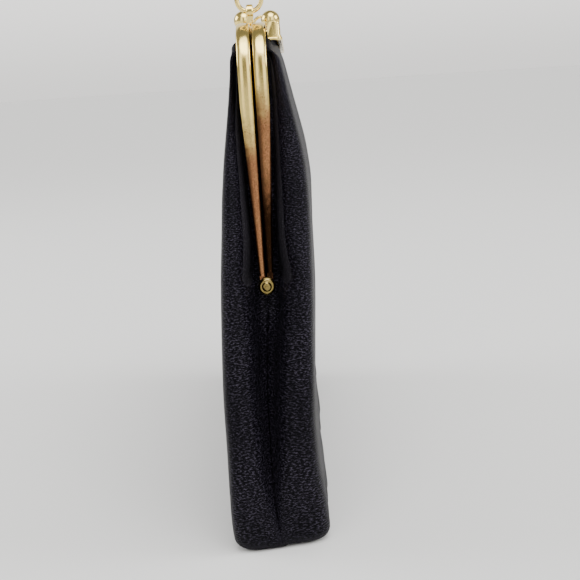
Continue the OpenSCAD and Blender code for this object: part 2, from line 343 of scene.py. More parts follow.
def tarnish_group():
    """Handling marks on plated metal: slow stains, fine pits, hairline scuffs and a fine grain."""
    tree, start = new_group("Plate wear", "Pits per metre", 1500.0)
    vector = start["Vector"]
    stain = ramp(tree, noise(tree, vector, 170.0, 5.0, 0.62), 0.42, 0.68)
    cells = tree.nodes.new("ShaderNodeTexVoronoi")
    tree.links.new(vector, cells.inputs["Vector"])
    tree.links.new(start["Pits per metre"], cells.inputs["Scale"])
    pits = ramp(tree, cells.outputs["Distance"], 0.12, 0.34, 1.0, 0.0)
    pitted = ramp(tree, noise(tree, vector, 420.0, 2.0), 0.40, 0.56)
    scuffs = noise(tree, vector, (900.0, 2600.0, 260.0), 3.0, 0.55)
    grain = ramp(tree, noise(tree, vector, 2300.0, 2.0, 0.7), 0.46, 0.62)
    return give(tree, Stain=stain, Pits=maths(tree, "MULTIPLY", pits, pitted), Scuffs=scuffs, Grain=grain)


def gold_material(name, group, colour, stained, foot_share):
    """Polished pale gold plate; foot_share is how much the plate browns down the legs and how dark the
    painted shade on the front leg's foot gets.
    """
    material, tree, shader = new_material(name)
    place = tree.nodes.new("ShaderNodeTexCoord").outputs["Object"]
    wear = use_group(tree, group, place).outputs
    _, y, z = split_xyz(tree, place)

    # The plate browns down the legs, the front one 10 mm higher up as painted shade, at a height that wanders
    # by 7 mm.
    front = eased_ramp(tree, y, -0.6 * MM, 0.2 * MM, 1.0, 0.0)
    wander = maths(tree, "MULTIPLY", maths(tree, "SUBTRACT", wear["Stain"], 0.5), 7 * MM)
    shift = maths(tree, "ADD", maths(tree, "MULTIPLY", front, -10 * MM), wander)
    level = maths(tree, "ADD", z, shift)
    low = eased_ramp(tree, level, TOP_Z - 43 * MM, TOP_Z - 25 * MM, foot_share, 0.0)
    foot = eased_ramp(tree, level, HINGE_Z + 9 * MM, TOP_Z - 52 * MM, foot_share, 0.0)

    # Random stains plus the browning that grows darker towards the legs' feet.
    handled = maths(tree, "ADD", maths(tree, "MULTIPLY", wear["Stain"], 0.16), low)
    plate = blend_colour(tree, maths(tree, "MINIMUM", handled, 1.0), colour, stained)
    speck = maths(tree, "MULTIPLY", wear["Grain"], maths(tree, "MULTIPLY", low, 0.5))
    plate = blend_colour(tree, speck, plate, shade(stained, 2.4))
    # Painted shade darkens each brown leg's back side, and painted shade makes the front leg's foot nearly
    # black.
    across = tree.nodes.new("ShaderNodeAttribute")
    across.attribute_name = "across"
    painted_side_shade = maths(tree, "MULTIPLY", eased_ramp(tree, across.outputs["Fac"], 0.50, 0.80, 0.0, 0.80), low)
    plate = blend_colour(tree, painted_side_shade, plate, shade(stained, 0.15))
    # Painted shade: the front leg's foot is darkened nearly to black.
    plate = blend_colour(tree, maths(tree, "MULTIPLY", front, foot), plate, shade(stained, 0.04))
    worn = maths(tree, "MULTIPLY_ADD", low, 0.55, 0.30)
    pits = maths(tree, "MULTIPLY", wear["Pits"], worn)
    plate = blend_colour(tree, pits, plate, shade(stained, 0.35))
    tree.links.new(plate, shader.inputs["Base Color"])

    rough = maths(tree, "MULTIPLY_ADD", wear["Scuffs"], 0.16, 0.08)
    tree.links.new(maths(tree, "MULTIPLY_ADD", low, 0.22, rough), shader.inputs["Roughness"])
    shader.inputs["Metallic"].default_value = 1.0
    marks = maths(tree, "SUBTRACT", wear["Scuffs"], wear["Pits"])
    raise_surface(tree, shader, marks, 0.12, 0.08 * MM)
    return material


def cloth_material(name, group, colour, light, roughness, sheen, ribs, strength):
    """Woven cloth from the piece's own UV map, which is in metres."""
    material, tree, shader = new_material(name)
    uv = tree.nodes.new("ShaderNodeUVMap")
    uv.uv_map = "cloth"
    weave = use_group(tree, group, uv.outputs[0])
    weave.inputs["Ribs per metre"].default_value = ribs
    slubs = weave.outputs["Slubs"]
    # Partly weave grain, partly painted sheen: lighter threads in slub streaks and cloudy patches stand in
    # for the satin's glints.
    painted_glint_spread = ramp(tree, slubs, 0.50, 0.64)
    cloud = ramp(tree, weave.outputs["Cloud"], 0.32, 0.66, 0.42, 1.0)
    raised = maths(tree, "MULTIPLY", painted_glint_spread, cloud)
    tree.links.new(blend_colour(tree, raised, colour, light), shader.inputs["Base Color"])
    gloss = maths(tree, "MULTIPLY_ADD", slubs, 0.22, roughness - 0.11)
    tree.links.new(gloss, shader.inputs["Roughness"])
    shader.inputs["Specular IOR Level"].default_value = 0.035
    shader.inputs["Sheen Weight"].default_value = sheen
    shader.inputs["Sheen Roughness"].default_value = 0.35
    shader.inputs["Sheen Tint"].default_value = (*light, 1.0)
    raise_surface(tree, shader, maths(tree, "ADD", weave.outputs["Threads"], slubs), strength, 0.12 * MM)
    return material


def plain_material(name, colour, dark, scale, roughness, strength):
    """Card, buckram or cord: a mottled colour with a fibrous bump from Object coordinates."""
    material, tree, shader = new_material(name)
    place = tree.nodes.new("ShaderNodeTexCoord")
    fibres = noise(tree, place.outputs["Object"], scale, 5.0, 0.65)
    tree.links.new(blend_colour(tree, fibres, dark, colour), shader.inputs["Base Color"])
    shader.inputs["Roughness"].default_value = roughness
    raise_surface(tree, shader, fibres, strength, 0.2 * MM)
    return material


def floor_material(colour):
    """The matt pale floor."""
    material, _, shader = new_material("pale floor")
    shader.inputs["Base Color"].default_value = (*colour, 1.0)
    shader.inputs["Roughness"].default_value = 0.75
    return material


def finish_named(name):
    """A finish made by the finishes operator."""
    return bpy.data.materials[name]


# ---- settings ----


class ClutchMetalSettings(PropertyGroup):
    """Sizes and colours of the metal."""

    crown: FloatProperty(
        name="Rail crown", description="How far a rail's outer face rounds off at its edges",
        default=1.0 * MM, unit="LENGTH",
    )
    ball: FloatProperty(
        name="Clasp ball", description="Diameter of a clasp ball",
        default=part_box("clasp_ball_front")[1].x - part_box("clasp_ball_front")[0].x, unit="LENGTH",
    )
    plate: FloatVectorProperty(
        name="Plate", description="Colour of the gold plate", subtype="COLOR", default=(0.88, 0.68, 0.22)
    )
    # Brown of stains, pits and the browning down the legs; darker mixes of it are painted shade on the legs.
    tarnish_and_shade: FloatVectorProperty(
        name="Tarnish", description="Colour of handled and stained plate", subtype="COLOR",
        default=(0.21, 0.095, 0.043),
    )


class ClutchSatinSettings(PropertyGroup):
    """Sizes and colours of the cloth."""

    thickness: FloatProperty(
        name="Cloth thickness", description="Thickness of the satin", default=0.45 * MM, unit="LENGTH"
    )
    hem_turn: FloatProperty(
        name="Base turn", description="Radius of the turn under the bag", default=4.2 * MM, unit="LENGTH"
    )
    columns: IntProperty(name="Columns", description="Faces across a satin panel", default=300, min=60)
    rows: IntProperty(name="Rows", description="Faces up a satin panel", default=130, min=40)
    black: FloatVectorProperty(
        name="Satin", description="Colour of the satin in shade", subtype="COLOR",
        default=(0.0016, 0.0015, 0.0024),
    )
    # Partly thread colour, partly painted sheen that stands in for the satin's glints.
    light: FloatVectorProperty(
        name="Satin light", description="Colour of the satin's raised threads", subtype="COLOR",
        default=(0.052, 0.046, 0.066),
    )


class ClutchStageSettings(PropertyGroup):
    """The camera and the room."""

    distance: FloatProperty(
        name="Distance", description="From the camera to the near end of the frame", default=0.350,
        unit="LENGTH",
    )
    lens: FloatProperty(name="Lens", description="Focal length on a 36 mm sensor", default=75.4)
    pitch: FloatProperty(
        name="Pitch", description="How far the camera looks down", default=math.radians(9.9),
        subtype="ANGLE",
    )
    roll: FloatProperty(
        name="Roll", description="How far the camera leans", default=math.radians(3.7), subtype="ANGLE"
    )
    floor: FloatVectorProperty(
        name="Floor", description="Colour of the floor", subtype="COLOR", default=(0.80, 0.80, 0.79)
    )


# ---- metal pieces ----


def rail_section(crown, width, groove=2.8 * MM, wall=0.6 * MM, fullness=0.7):
    """A channel's outline: x is 0 at the frame's outer face and negative inside, y runs across."""
    half = width / 2
    face = []
    for turn in (-90, -82, -72, -60, -45, -28, -12, 0, 12, 28, 45, 60, 72, 82, 90):
        angle = math.radians(abs(turn))
        out = math.sin(angle) ** fullness
        depth = crown * (1 - max(math.cos(angle), 0.0) ** fullness)
        face.append((-depth, half + math.copysign(half * out, turn)))
    lip = 0.2 * MM
    walls = [
        (-BAND + lip, width), (-BAND, width - lip), (-BAND, width - wall), (-groove, width - wall),
        (-groove, wall), (-BAND, wall), (-BAND, lip), (-BAND + lip, 0.0),
    ]
    return face + walls


def rail_width(z):
    """A rail's thickness front to back at a height."""
    share = (z - LEG_END_Z) / (TAPER_TOP_Z - LEG_END_Z)
    return END_RAIL_T + (RAIL_OUT - RAIL_IN - END_RAIL_T) * min(max(share, 0.0), 1.0)


def rail_place(angle, x, z, side):
    """The matrix of a station: its outward direction is angle from +X in the XZ plane."""
    outward = Vector((math.cos(angle), 0, math.sin(angle)))
    run = Vector((-math.sin(angle), 0, math.cos(angle)))
    scale = rail_width(z) / (RAIL_OUT - RAIL_IN)
    place = Matrix.Identity(4)
    place.col[0][:3] = outward
    place.col[1][:3] = (0, side * scale, 0)
    place.col[2][:3] = run
    place.col[3][:3] = (x, side * RAIL_IN, z)
    return place


def rail_places(side):
    """Stations up one leg, round both corners and down the other leg, counted from the right."""
    leg_steps, turn_steps = 12, 14
    corner_x, corner_z = HALF_FRAME - CORNER_R, TOP_Z - CORNER_R
    heights = [LEG_END_Z, LEG_END_Z + 0.5 * MM]
    heights += [LEG_END_Z + (corner_z - LEG_END_Z) * step / leg_steps for step in range(1, leg_steps + 1)]
    leg = [(0.0, HALF_FRAME, z) for z in heights]
    turn = [step / turn_steps * math.pi / 2 for step in range(1, turn_steps + 1)]
    corner = [(a, corner_x + CORNER_R * math.cos(a), corner_z + CORNER_R * math.sin(a)) for a in turn]
    right = leg + corner
    top = [(math.pi / 2, x * corner_x, TOP_Z) for x in (0.5, 0.0, -0.5)]
    left = [(math.pi - a, -x, z) for a, x, z in reversed(right)]
    return [rail_place(a, x, z, side) for a, x, z in right + top + left]


def hinge_eye(bm, x, side):
    """The flat eye at a leg's end and the neck above it, which runs up into the leg."""
    neck_length, neck_rise = 3.4 * MM, 2.2 * MM
    place = at(x, 0, HINGE_Z) @ Matrix.Rotation(math.pi / 2, 4, "Y")
    eye = bmesh.ops.create_cone(
        bm, cap_ends=True, segments=32, radius1=EYE_R, radius2=EYE_R, depth=EYE_T, matrix=place
    )["verts"]
    rim = {edge for v in eye for edge in v.link_edges if edge.calc_face_angle(0) > 1.2}
    bevelled(bm, rim, 0.12 * MM)
    neck_y = side * (RAIL_IN + END_RAIL_T / 2)
    size = Matrix.Diagonal((EYE_T, END_RAIL_T, neck_length, 1.0))
    neck = bmesh.ops.create_cube(bm, size=1.0, matrix=at(x, neck_y, HINGE_Z + neck_rise) @ size)["verts"]
    bevelled(bm, {edge for v in neck for edge in v.link_edges}, 0.15 * MM)


def make_rail(name, side, body, eye_x):
    """One half of the frame; across runs from 0 at its front face to 1 at its back."""
    metal = bpy.context.scene.clutch_metal
    bm = bmesh.new()
    section = rail_section(metal.crown, RAIL_OUT - RAIL_IN)
    edges = closed_ring(bm, [(x, y, 0) for x, y in section])
    across = bm.verts.layers.float.new("across")
    for vert in bm.verts:
        share = vert.co.y / (RAIL_OUT - RAIL_IN)
        vert[across] = share if side == BACK else 1 - share
    places = rail_places(side)
    bmesh.ops.transform(bm, matrix=places[0], verts=bm.verts)
    sweep(bm, edges, places)
    for sx in (-1, 1):
        hinge_eye(bm, sx * eye_x, side)
    sharp_edges(bm, math.radians(40))
    piece = new_piece(name, bm, finish_named("gold plate"))
    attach(piece, body)
    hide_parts(name.replace("rail_", "frame_rail_"))
    return piece


class CLUTCH_OT_rails(Operator):
    """Both halves of the frame, with their crowned faces and flat eyes at their ends"""

    bl_idname = "clutch.rails"
    bl_label = "Frame rails"

    def execute(self, context):
        outer_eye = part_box("frame_rail_front")[1].x - EYE_T / 2
        make_rail("rail_front", FRONT, "front_half", outer_eye)
        make_rail("rail_back", BACK, "back_half", outer_eye - EYE_T - EYE_GAP)
        return {"FINISHED"}


class CLUTCH_OT_front_bar(Operator):
    """The bar that grips the front satin, with a rolled lower lip"""

    bl_idname = "clutch.front_bar"
    bl_label = "Front bar"

    def execute(self, context):
        back, face = BAR_HIGH.y, BAR_LOW.y
        low, high = BAR_LOW.z, BAR_HIGH.z
        wall, lip, turn, end_t = 0.6 * MM, 0.95 * MM, 0.8 * MM, 1.4 * MM
        corners = [math.radians(a) for a in (0, 22.5, 45, 67.5, 90)]
        section = [(face + turn - turn * math.sin(a), high - turn + turn * math.cos(a)) for a in corners]
        section += [
            (face, low + 1.5 * MM), (face - 0.25 * MM, low + 1.15 * MM), (face - 0.42 * MM, low + 0.6 * MM),
            (face - 0.25 * MM, low + 0.12 * MM), (face + 0.1 * MM, low), (face + lip, low + 0.1 * MM),
            (face + wall, low + 1.3 * MM), (face + wall, high - wall), (back - wall, high - wall),
            (back - wall, low + 1.0 * MM), (back - wall, low), (back - 0.1 * MM, low), (back, low + 0.2 * MM),
            (back, high - 0.3 * MM), (back - 0.3 * MM, high),
        ]
        # The closed ends have the same outline without its hollow.
        solid = section[:10] + section[-5:]
        bm = bmesh.new()
        edges = closed_ring(bm, [(BAR_LOW.x + 0.5 * MM, y, z) for y, z in section])
        sweep(bm, edges, [at(0, 0, 0), at(BAR_HIGH.x - BAR_LOW.x - 1 * MM, 0, 0)])
        for sx in (-1, 1):
            ring = closed_ring(bm, [(0, y, z) for y, z in solid])
            places = [self.end_place(sx, step / 6, end_t) for step in range(7)]
            places.append(at(sx * (BAR_HIGH.x - 4 * MM), 0, 0))
            bmesh.ops.transform(bm, matrix=places[0], verts=ring_verts(ring))
            sweep(bm, ring, places)
        self.bead(bm)
        sharp_edges(bm, math.radians(50))
        piece = new_piece("bar_front", bm, finish_named("gold plate"))
        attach(piece, "front_half")
        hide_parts("front_bar")
        return {"FINISHED"}

    def bead(self, bm, radius=0.5 * MM, turn=1.6 * MM):
        """The rolled lip along the bar's lower edge, from the back of one end round to the other's."""
        out_x, out_y = BAR_HIGH.x + 0.1 * MM, BAR_LOW.y - 0.1 * MM
        z = BAR_LOW.z + radius * 0.9
        half = [(math.pi, out_x, BAR_HIGH.y - 0.2 * MM), (math.pi, out_x, out_y + turn)]
        for step in range(1, 7):
            angle = math.pi / 2 * step / 6
            x, y = out_x - turn + turn * math.cos(angle), out_y + turn - turn * math.sin(angle)
            half.append((math.pi + angle, x, y))
        whole = half + [(2 * math.pi - (a - math.pi), -x, y) for a, x, y in reversed(half)]
        angles = [math.tau * step / 14 for step in range(14)]
        edges = closed_ring(bm, [(radius * math.cos(a), 0, radius * math.sin(a)) for a in angles])
        places = [at(x, y, z) @ Matrix.Rotation(-a, 4, "Z") for a, x, y in whole]
        bmesh.ops.transform(bm, matrix=places[0], verts=ring_verts(edges))
        sweep(bm, edges, places)

    def end_place(self, sx, share, end_t):
        """A station of the bar's closed end, whose front corner rounds over as share goes from 0 to 1."""
        angle = math.pi / 2 * share
        back, low, high = BAR_HIGH.y, BAR_LOW.z, BAR_HIGH.z
        depth = 1 - 0.30 * (1 - math.sin(angle))
        height = 1 - 0.10 * (1 - math.sin(angle))
        squeeze = at(0, back, (low + high) / 2) @ Matrix.Diagonal((1, depth, height, 1))
        x = sx * (BAR_HIGH.x - end_t * (1 - math.cos(angle)))
        return at(x, 0, 0) @ squeeze @ at(0, -back, -(low + high) / 2)


def arm_place(points, share):
    """A station on a bent stem: points are its four control points."""
    a, b, c, d = points
    t, s = share, 1 - share
    where = a * s**3 + b * 3 * s * s * t + c * 3 * s * t * t + d * t**3
    run = ((b - a) * s * s + (c - b) * 2 * s * t + (d - c) * t * t).normalized()
    side = Vector((1, 0, 0))
    place = Matrix.Identity(4)
    place.col[0][:3] = side
    place.col[1][:3] = run.cross(side)
    place.col[2][:3] = run
    place.col[3][:3] = where
    return place


class CLUTCH_OT_clasp(Operator):
    """The two balls of the kiss-lock, on bent stems that stand on the rails"""

    bl_idname = "clutch.clasp"
    bl_label = "Kiss-lock clasp"

    def execute(self, context):
        for side, half in ((FRONT, "front"), (BACK, "back")):
            low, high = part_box("clasp_ball_" + half)
            centre = (low + high) / 2
            radius = context.scene.clutch_metal.ball / 2
            self.ball(half, centre, radius)
            self.arm(half, side, centre, radius)
        return {"FINISHED"}

    def ball(self, half, centre, radius):
        """One ball of the clasp."""
        bm = bmesh.new()
        bmesh.ops.create_uvsphere(bm, u_segments=48, v_segments=32, radius=radius, matrix=at(*centre))
        piece = new_piece("ball_" + half, bm, finish_named("gold plate"))
        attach(piece, half + "_half")
        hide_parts("clasp_ball_" + half)

    def arm(self, half, side, centre, radius):
        """The oval stem that bends up from a rail into its ball, with its foot plate."""
        bm = bmesh.new()
        foot = Vector((centre.x, side * (RAIL_IN + RAIL_OUT) / 2, TOP_Z - 0.2 * MM))
        inside = centre + Vector((0, side * 0.75 * radius, -0.55 * radius))
        above_foot = foot + Vector((0, 0, 2.4 * MM))
        before_ball = inside + Vector((0, side * 1.8 * MM, 0.3 * MM))
        points = (foot, above_foot, before_ball, inside)
        half_x, half_y = 1.25 * MM, 0.85 * MM
        angles = [math.tau * step / 24 for step in range(24)]
        edges = closed_ring(bm, [(half_x * math.cos(a), half_y * math.sin(a), 0) for a in angles])
        places = [arm_place(points, step / 14) for step in range(15)]
        bmesh.ops.transform(bm, matrix=places[0], verts=bm.verts)
        sweep(bm, edges, places)
        profile = [(0, 0.5), (1.9, 0.5), (2.2, 0.35), (2.3, 0.1), (2.3, 0.0), (0, 0)]
        oval = at(foot.x, foot.y, TOP_Z) @ Matrix.Diagonal((1.5, 0.72, 1, 1))
        turned(bm, [(r * MM, h * MM) for r, h in profile], oval)
        sharp_edges(bm, math.radians(45))
        piece = new_piece("arm_" + half, bm, finish_named("gold plate"))
        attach(piece, half + "_half")
        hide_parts("clasp_arm_" + half)


class CLUTCH_OT_rings(Operator):
    """The ring and the pierced lug at each end of the frame"""

    bl_idname = "clutch.rings"
    bl_label = "Rings and lugs"

    def execute(self, context):
        for end, joint in (("left", "ring_swing_left"), ("right", "ring_swing_right")):
            self.ring(end)
            self.lug(end, Vector(JOINTS[joint]["pos_m"]))
        return {"FINISHED"}

    def ring(self, end):
        """A ring of round wire."""
        low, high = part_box("ring_" + end)
        wire = (high.x - low.x) / 2
        loop = (high.y - low.y) / 2 - wire
        bm = bmesh.new()
        circle = bmesh.ops.create_circle(
            bm, segments=20, radius=wire, matrix=at(0, 0, loop) @ Matrix.Rotation(math.pi / 2, 4, "X")
        )["verts"]
        bmesh.ops.spin(
            bm, geom=circle + list(bm.edges), cent=(0, 0, 0), axis=(1, 0, 0), angle=math.tau, steps=72,
            use_merge=True, use_duplicate=False,
        )
        bmesh.ops.remove_doubles(bm, verts=bm.verts, dist=1e-6)
        bmesh.ops.transform(bm, matrix=at(*(low + high) / 2), verts=bm.verts)
        bmesh.ops.recalc_face_normals(bm, faces=bm.faces)
        piece = new_piece("loop_" + end, bm, finish_named("gold wire"))
        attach(piece, end + "_ring")
        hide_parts("ring_" + end)

    def lug(self, end, eye):
        """The pierced tab that a ring hangs in, with a stem that steps back onto the rear rail."""
        low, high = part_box("lug_" + end)
        hole, outer = 1.1 * MM, (high.x - low.x) / 2
        edge, half_t, foot_t = 0.22 * MM, 0.95 * MM, 0.45 * MM
        profile = [
            (hole + edge, -half_t), (outer - edge, -half_t), (outer, -half_t + edge), (outer, half_t - edge),
            (outer - edge, half_t), (hole + edge, half_t), (hole, half_t - edge), (hole, -half_t + edge),
        ]
        profile.append(profile[0])
        bm = bmesh.new()
        turned(bm, profile, at(*eye) @ Matrix.Rotation(math.pi / 2, 4, "X"), steps=40)
        edges = closed_ring(bm, [(-1, -1, 0), (1, -1, 0), (1, 1, 0), (-1, 1, 0)])
        stations = (
            (0.0, eye.z - hole - 0.1 * MM, 1.6 * MM, half_t * 0.95),
            (0.0, eye.z - outer + 0.3 * MM, 1.5 * MM, half_t * 0.95),
            (RAIL_IN + foot_t, low.z, 1.3 * MM, foot_t),
        )
        places = [
            at(eye.x, y, z) @ Matrix.Diagonal((half_x, half_y, 1, 1)) for y, z, half_x, half_y in stations
        ]
        bmesh.ops.transform(bm, matrix=places[0], verts=ring_verts(edges))
        sweep(bm, edges, places)
        sharp_edges(bm, math.radians(40))
        piece = new_piece("tab_" + end, bm, finish_named("gold wire"))
        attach(piece, "back_half")
        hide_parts("lug_" + end)


class CLUTCH_OT_rivets(Operator):
    """The domed hinge rivets at both ends"""

    bl_idname = "clutch.rivets"
    bl_label = "Hinge rivets"

    def execute(self, context):
        for sx, end in ((-1, "left"), (1, "right")):
            low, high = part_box("rivet_" + end)
            inner, outer = sorted((abs(low.x), abs(high.x)))
            radius = (high.y - low.y) / 2
            head = HALF_FRAME + 0.1 * MM
            dome = []
            for step in range(31):
                angle = math.radians(3 * step)
                # A shallow groove runs round the dome.
                groove = 0.30 * MM * math.exp(-(((angle - 0.62) / 0.13) ** 2))
                reach = outer - head - groove
                dome.append((radius * math.sin(angle), head + reach * math.cos(angle)))
            shank, tail = 0.9 * MM, 1.7 * MM
            profile = dome + [
                (radius, head), (shank, head), (shank, inner + 0.8 * MM), (tail, inner + 0.7 * MM),
                (tail, inner + 0.2 * MM), (1.2 * MM, inner), (0, inner),
            ]
            profile = [point for i, point in enumerate(profile) if i == 0 or point != profile[i - 1]]
            bm = bmesh.new()
            turned(bm, profile, at(0, 0, HINGE_Z) @ Matrix.Rotation(sx * math.pi / 2, 4, "Y"))
            self.dent(bm, sx, head, radius)
            sharp_edges(bm, math.radians(40))
            piece = new_piece("boss_" + end, bm, finish_named("gold rivet in painted shade"))
            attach(piece, "bag")
            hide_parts("rivet_" + end)
        return {"FINISHED"}

    def dent(self, bm, sx, head, radius):
        """Shallow curling dents pressed in a rivet's dome, short of its rim."""
        rim, fade, depth = 0.95, 0.3, 0.14 * MM
        for vert in bm.verts:
            reach = math.hypot(vert.co.y, vert.co.z - HINGE_Z) / radius
            if abs(vert.co.x) > head and reach < rim:
                turn = math.atan2(vert.co.z - HINGE_Z, vert.co.y)
                curl = math.sin(2 * turn + 5 * reach) * smooth(reach / fade) * smooth((rim - reach) / fade)
                vert.co.x -= sx * depth * (0.5 + 0.5 * curl) * smooth(reach / 0.2)


# ---- cloth pieces ----

# The tables below are in millimetres, as (height above the base, value) pairs.
# The satin's outer face at the panels' ends: how far it stands from the middle plane, first up to
# the rails and then where it turns in to them.
END_DEPTHS = {
    FRONT: [(0, 14.7), (10, 14.1), (24, 12.9), (42, 12.2), (60, 12.9), (76, 13.6), (96, 13.7), (106, 13.7),
            (117, 13.2), (126, 11.4), (134, 9.8), (141, 8.6), (145, 7.9), (146.6, 6.9), (147.3, 5.4),
            (147.8, 3.4)],
    BACK: [(0, 14.8), (10, 15.2), (24, 15.2), (42, 15.0), (60, 14.2), (76, 13.2), (96, 11.8), (106, 11.2),
           (117, 10.1), (126, 8.8), (134, 7.7), (141, 6.9), (145, 6.3), (146.6, 5.6), (147.3, 4.6),
           (147.8, 3.4)],
}
# The same at the middle of the bag's length, up to the front bar and to the back rail.
MIDDLE_DEPTHS = {
    FRONT: [(0, 14.0), (10, 13.8), (24, 12.9), (50, 12.7), (80, 15.1), (105, 15.8), (117, 14.6), (128, 12.4),
            (138, 10.2), (145, 8.7), (149, 7.7), (150.5, 7.2), (153, 6.6)],
    BACK: [(0, 14.9), (10, 15.6), (24, 15.8), (50, 16.2), (80, 15.6), (105, 13.6), (117, 12.0), (128, 9.8),
           (138, 7.9), (145, 6.4), (148, 5.6), (149.4, 4.7), (150.2, 3.9), (151.5, 3.4)],
}
# How far out along the length a panel's rounded end reaches.
END_REACHES = {
    FRONT: [(0, 107.6), (8, 109.2), (25, 112.0), (45, 113.2), (65, 112.4), (80, 110.8), (90, 109.0),
            (105, 105.6), (117, 102.6), (134, 99.0), (147, 97.0)],
    BACK: [(0, 107.4), (8, 109.6), (25, 112.6), (45, 113.4), (65, 112.2), (80, 110.4), (90, 108.6),
           (105, 105.2), (117, 102.2), (134, 98.8), (147, 97.0)],
}
# How far in from there its flat part stops and the turn begins.
TURNS = {
    FRONT: [(0, 6.5), (14, 10), (40, 17), (110, 16), (122, 14), (146, 7)],
    BACK: [(0, 9), (20, 11), (60, 15), (110, 15), (122, 13), (146, 7)],
}
# The seam at an end of the bag: its place along the length and how far it wanders to the back.
SEAM_X = [(0, 107.4), (5, 107.0), (14, 105.9), (25, 104.2), (40, 102.2), (60, 100.4), (72, 99.5), (80, 99.3)]
SEAM_Y = [(0, 0.3), (5, 0.8), (12, 1.7), (22, 2.2), (46, 2.1), (62, 1.1), (72, 0.3), (80, 0.0)]
# How much shorter a panel's outer corner is than its part by the seam, near the base.
SLANTS = {FRONT: [(0, 7.0), (10, 6.0), (22, 3.4), (36, 0.0)], BACK: [(0, 0.4), (20, 0.0)]}
# Half the width of the hollow that the seam lies in.
VALLEYS = [(0, 0.5), (10, 0.8), (24, 1.4), (40, 1.8), (62, 2.6), (74, 3.9), (82, 3.6), (92, 1.6), (150, 1.0)]

# How far inside the satin's outer face each inner cloth lies, how wide its turn at the base is, and
# how thick it is.
LINING_INSET, LINING_TURN, LINING_T = 2.1 * MM, 3.0 * MM, 0.25 * MM
BUCKRAM_INSET, BUCKRAM_TURN, BUCKRAM_T = 1.15 * MM, 2.5 * MM, 0.45 * MM
# How much of a panel's length the buckram covers.
BUCKRAM_SHARE = 0.72
# The share of a panel's half length that its turned end takes up, and of its height the base turn.
END_SHARE, BASE_SHARE = 0.27, 0.05
# The size given to a panel's UV map, in metres.
MAP_WIDTH, MAP_HEIGHT = 0.29, 0.165


def read(table, z):
    """Reads one of the outlines above at a height in metres; they stay crisp near the frame."""
    reach = 3.0 - 2.6 * smooth((z / MM - 122) / 14)
    return eased(table, z / MM, reach) * MM


class Shell:
    """The shape of a cloth panel from one end seam round to the other; inset sets it inside the satin."""

    def __init__(self, side, inset, top_z, turn, share=1.0):
        self.side = side
        self.inset = inset
        self.top_z = top_z
        self.turn = turn
        self.share = share

    def end_height(self, z):
        """Where a row that runs at z across the middle meets the leg, or the seam below it."""
        start = TOP_Z - 26 * MM
        if z < start or self.top_z < start:
            return z
        end_top = TOP_Z - CORNER_R + 5.7 * MM
        return start + (end_top - start) * (z - start) / (self.top_z - start)

    def inner_edge(self, z):
        """The frame's inner edge at a height: how far along X, round the corner."""
        radius = CORNER_R - BAND
        drop = min(max((z - (TOP_Z - CORNER_R)) / radius, 0.0), 1.0)
        return HALF_FRAME - CORNER_R + radius * math.sqrt(1 - drop * drop)

    def hem(self, z):
        """The cloth's edge inside a leg's channel, at its mouth, and round its outer wall."""
        width, x = rail_width(z), self.inner_edge(z)
        deep = Vector((x + 1.0 * MM, self.side * (RAIL_IN + 0.62 * width)))
        mouth = Vector((x - 0.5 * MM, self.side * (RAIL_IN + 0.8 * width)))
        wall = Vector((x - 0.2 * MM, self.side * (RAIL_IN + width + 0.3 * MM)))
        if self.inset:
            return deep, mouth, mouth
        return deep, mouth, wall

    def start(self, z):
        """Where a panel begins: on the seam below the hinge, at the leg's outer wall above it."""
        seam = Vector((read(SEAM_X, z) - self.inset, read(SEAM_Y, z)))
        return seam.lerp(self.hem(z)[2], smooth((z - HINGE_Z + 0.5 * MM) / (3.5 * MM)))

    def section(self, z, end_z, along_x, mix):
        """A point of the panel's outline; along_x runs from 0 in the middle to 1 at an end."""
        end_depth = read(END_DEPTHS[self.side], end_z)
        depth = (end_depth + (read(MIDDLE_DEPTHS[self.side], z) - end_depth) * mix - self.inset) * self.side
        reach = read(END_REACHES[self.side], end_z) - self.inset
        slant = read(SLANTS[self.side], end_z)
        flat_x = reach - slant - read(TURNS[self.side], end_z)
        if along_x <= 1 - END_SHARE:
            return Vector((flat_x * along_x / (1 - END_SHARE), depth))
        start = self.start(end_z)
        wall_y = start.y + self.side * read(VALLEYS, end_z)
        # The valley's floor lies just outside the seam low down, and inside it from the hinge up.
        above = smooth((end_z - HINGE_Z + 16 * MM) / (18 * MM))
        floor_x = start.x + (2.2 - 4.6 * above) * MM * smooth(end_z / (20 * MM))
        points = [
            Vector((flat_x, depth)), Vector((flat_x + 0.35 * (reach - slant - flat_x), depth)),
            Vector((reach - slant + 0.2 * MM, depth)),
            Vector((reach + 1.6 * MM - 0.66 * slant, 0.62 * depth + 0.38 * wall_y)),
            Vector((reach - 0.6 * MM - 0.12 * slant, wall_y + 0.12 * (depth - wall_y))),
            Vector((floor_x, wall_y)),
            start.lerp(Vector((floor_x, wall_y)), 0.42), start,
        ]
        return spline(points, (along_x - 1 + END_SHARE) / END_SHARE)

    def point(self, u, v):
        """A point of the panel for u and v from 0 to 1; rows are closer together near the frame."""
        if v < BASE_SHARE:
            angle = math.pi / 2 * (1 - v / BASE_SHARE)
            z, tuck = self.turn * (1 - math.sin(angle)), self.turn * (1 - math.cos(angle))
        else:
            rise = 1 - (1 - (v - BASE_SHARE) / (1 - BASE_SHARE)) ** 1.35
            z, tuck = self.turn + (self.top_z - self.turn) * rise, 0.0
        along_x = abs(2 * u - 1) * self.share
        # A row bends from its own height across the middle to where it meets the leg.
        mix = smooth((1 - along_x) / 0.24)
        end_z = self.end_height(z)
        middle = smooth((1 - along_x) / 0.85)
        place = self.section(z, end_z + (z - end_z) * mix, along_x, middle * mix)
        # The turned lower edge tucks in under the bag.
        x = place.x - tuck * smooth((along_x - 0.68) / 0.2)
        y = place.y - self.side * min(tuck, abs(place.y)) * smooth((1.04 - along_x) / 0.25)
        height = end_z + (z - end_z) * mix + self.inset * (1 - smooth(v / 0.1))
        return Vector((math.copysign(x, u - 0.5), y, height))


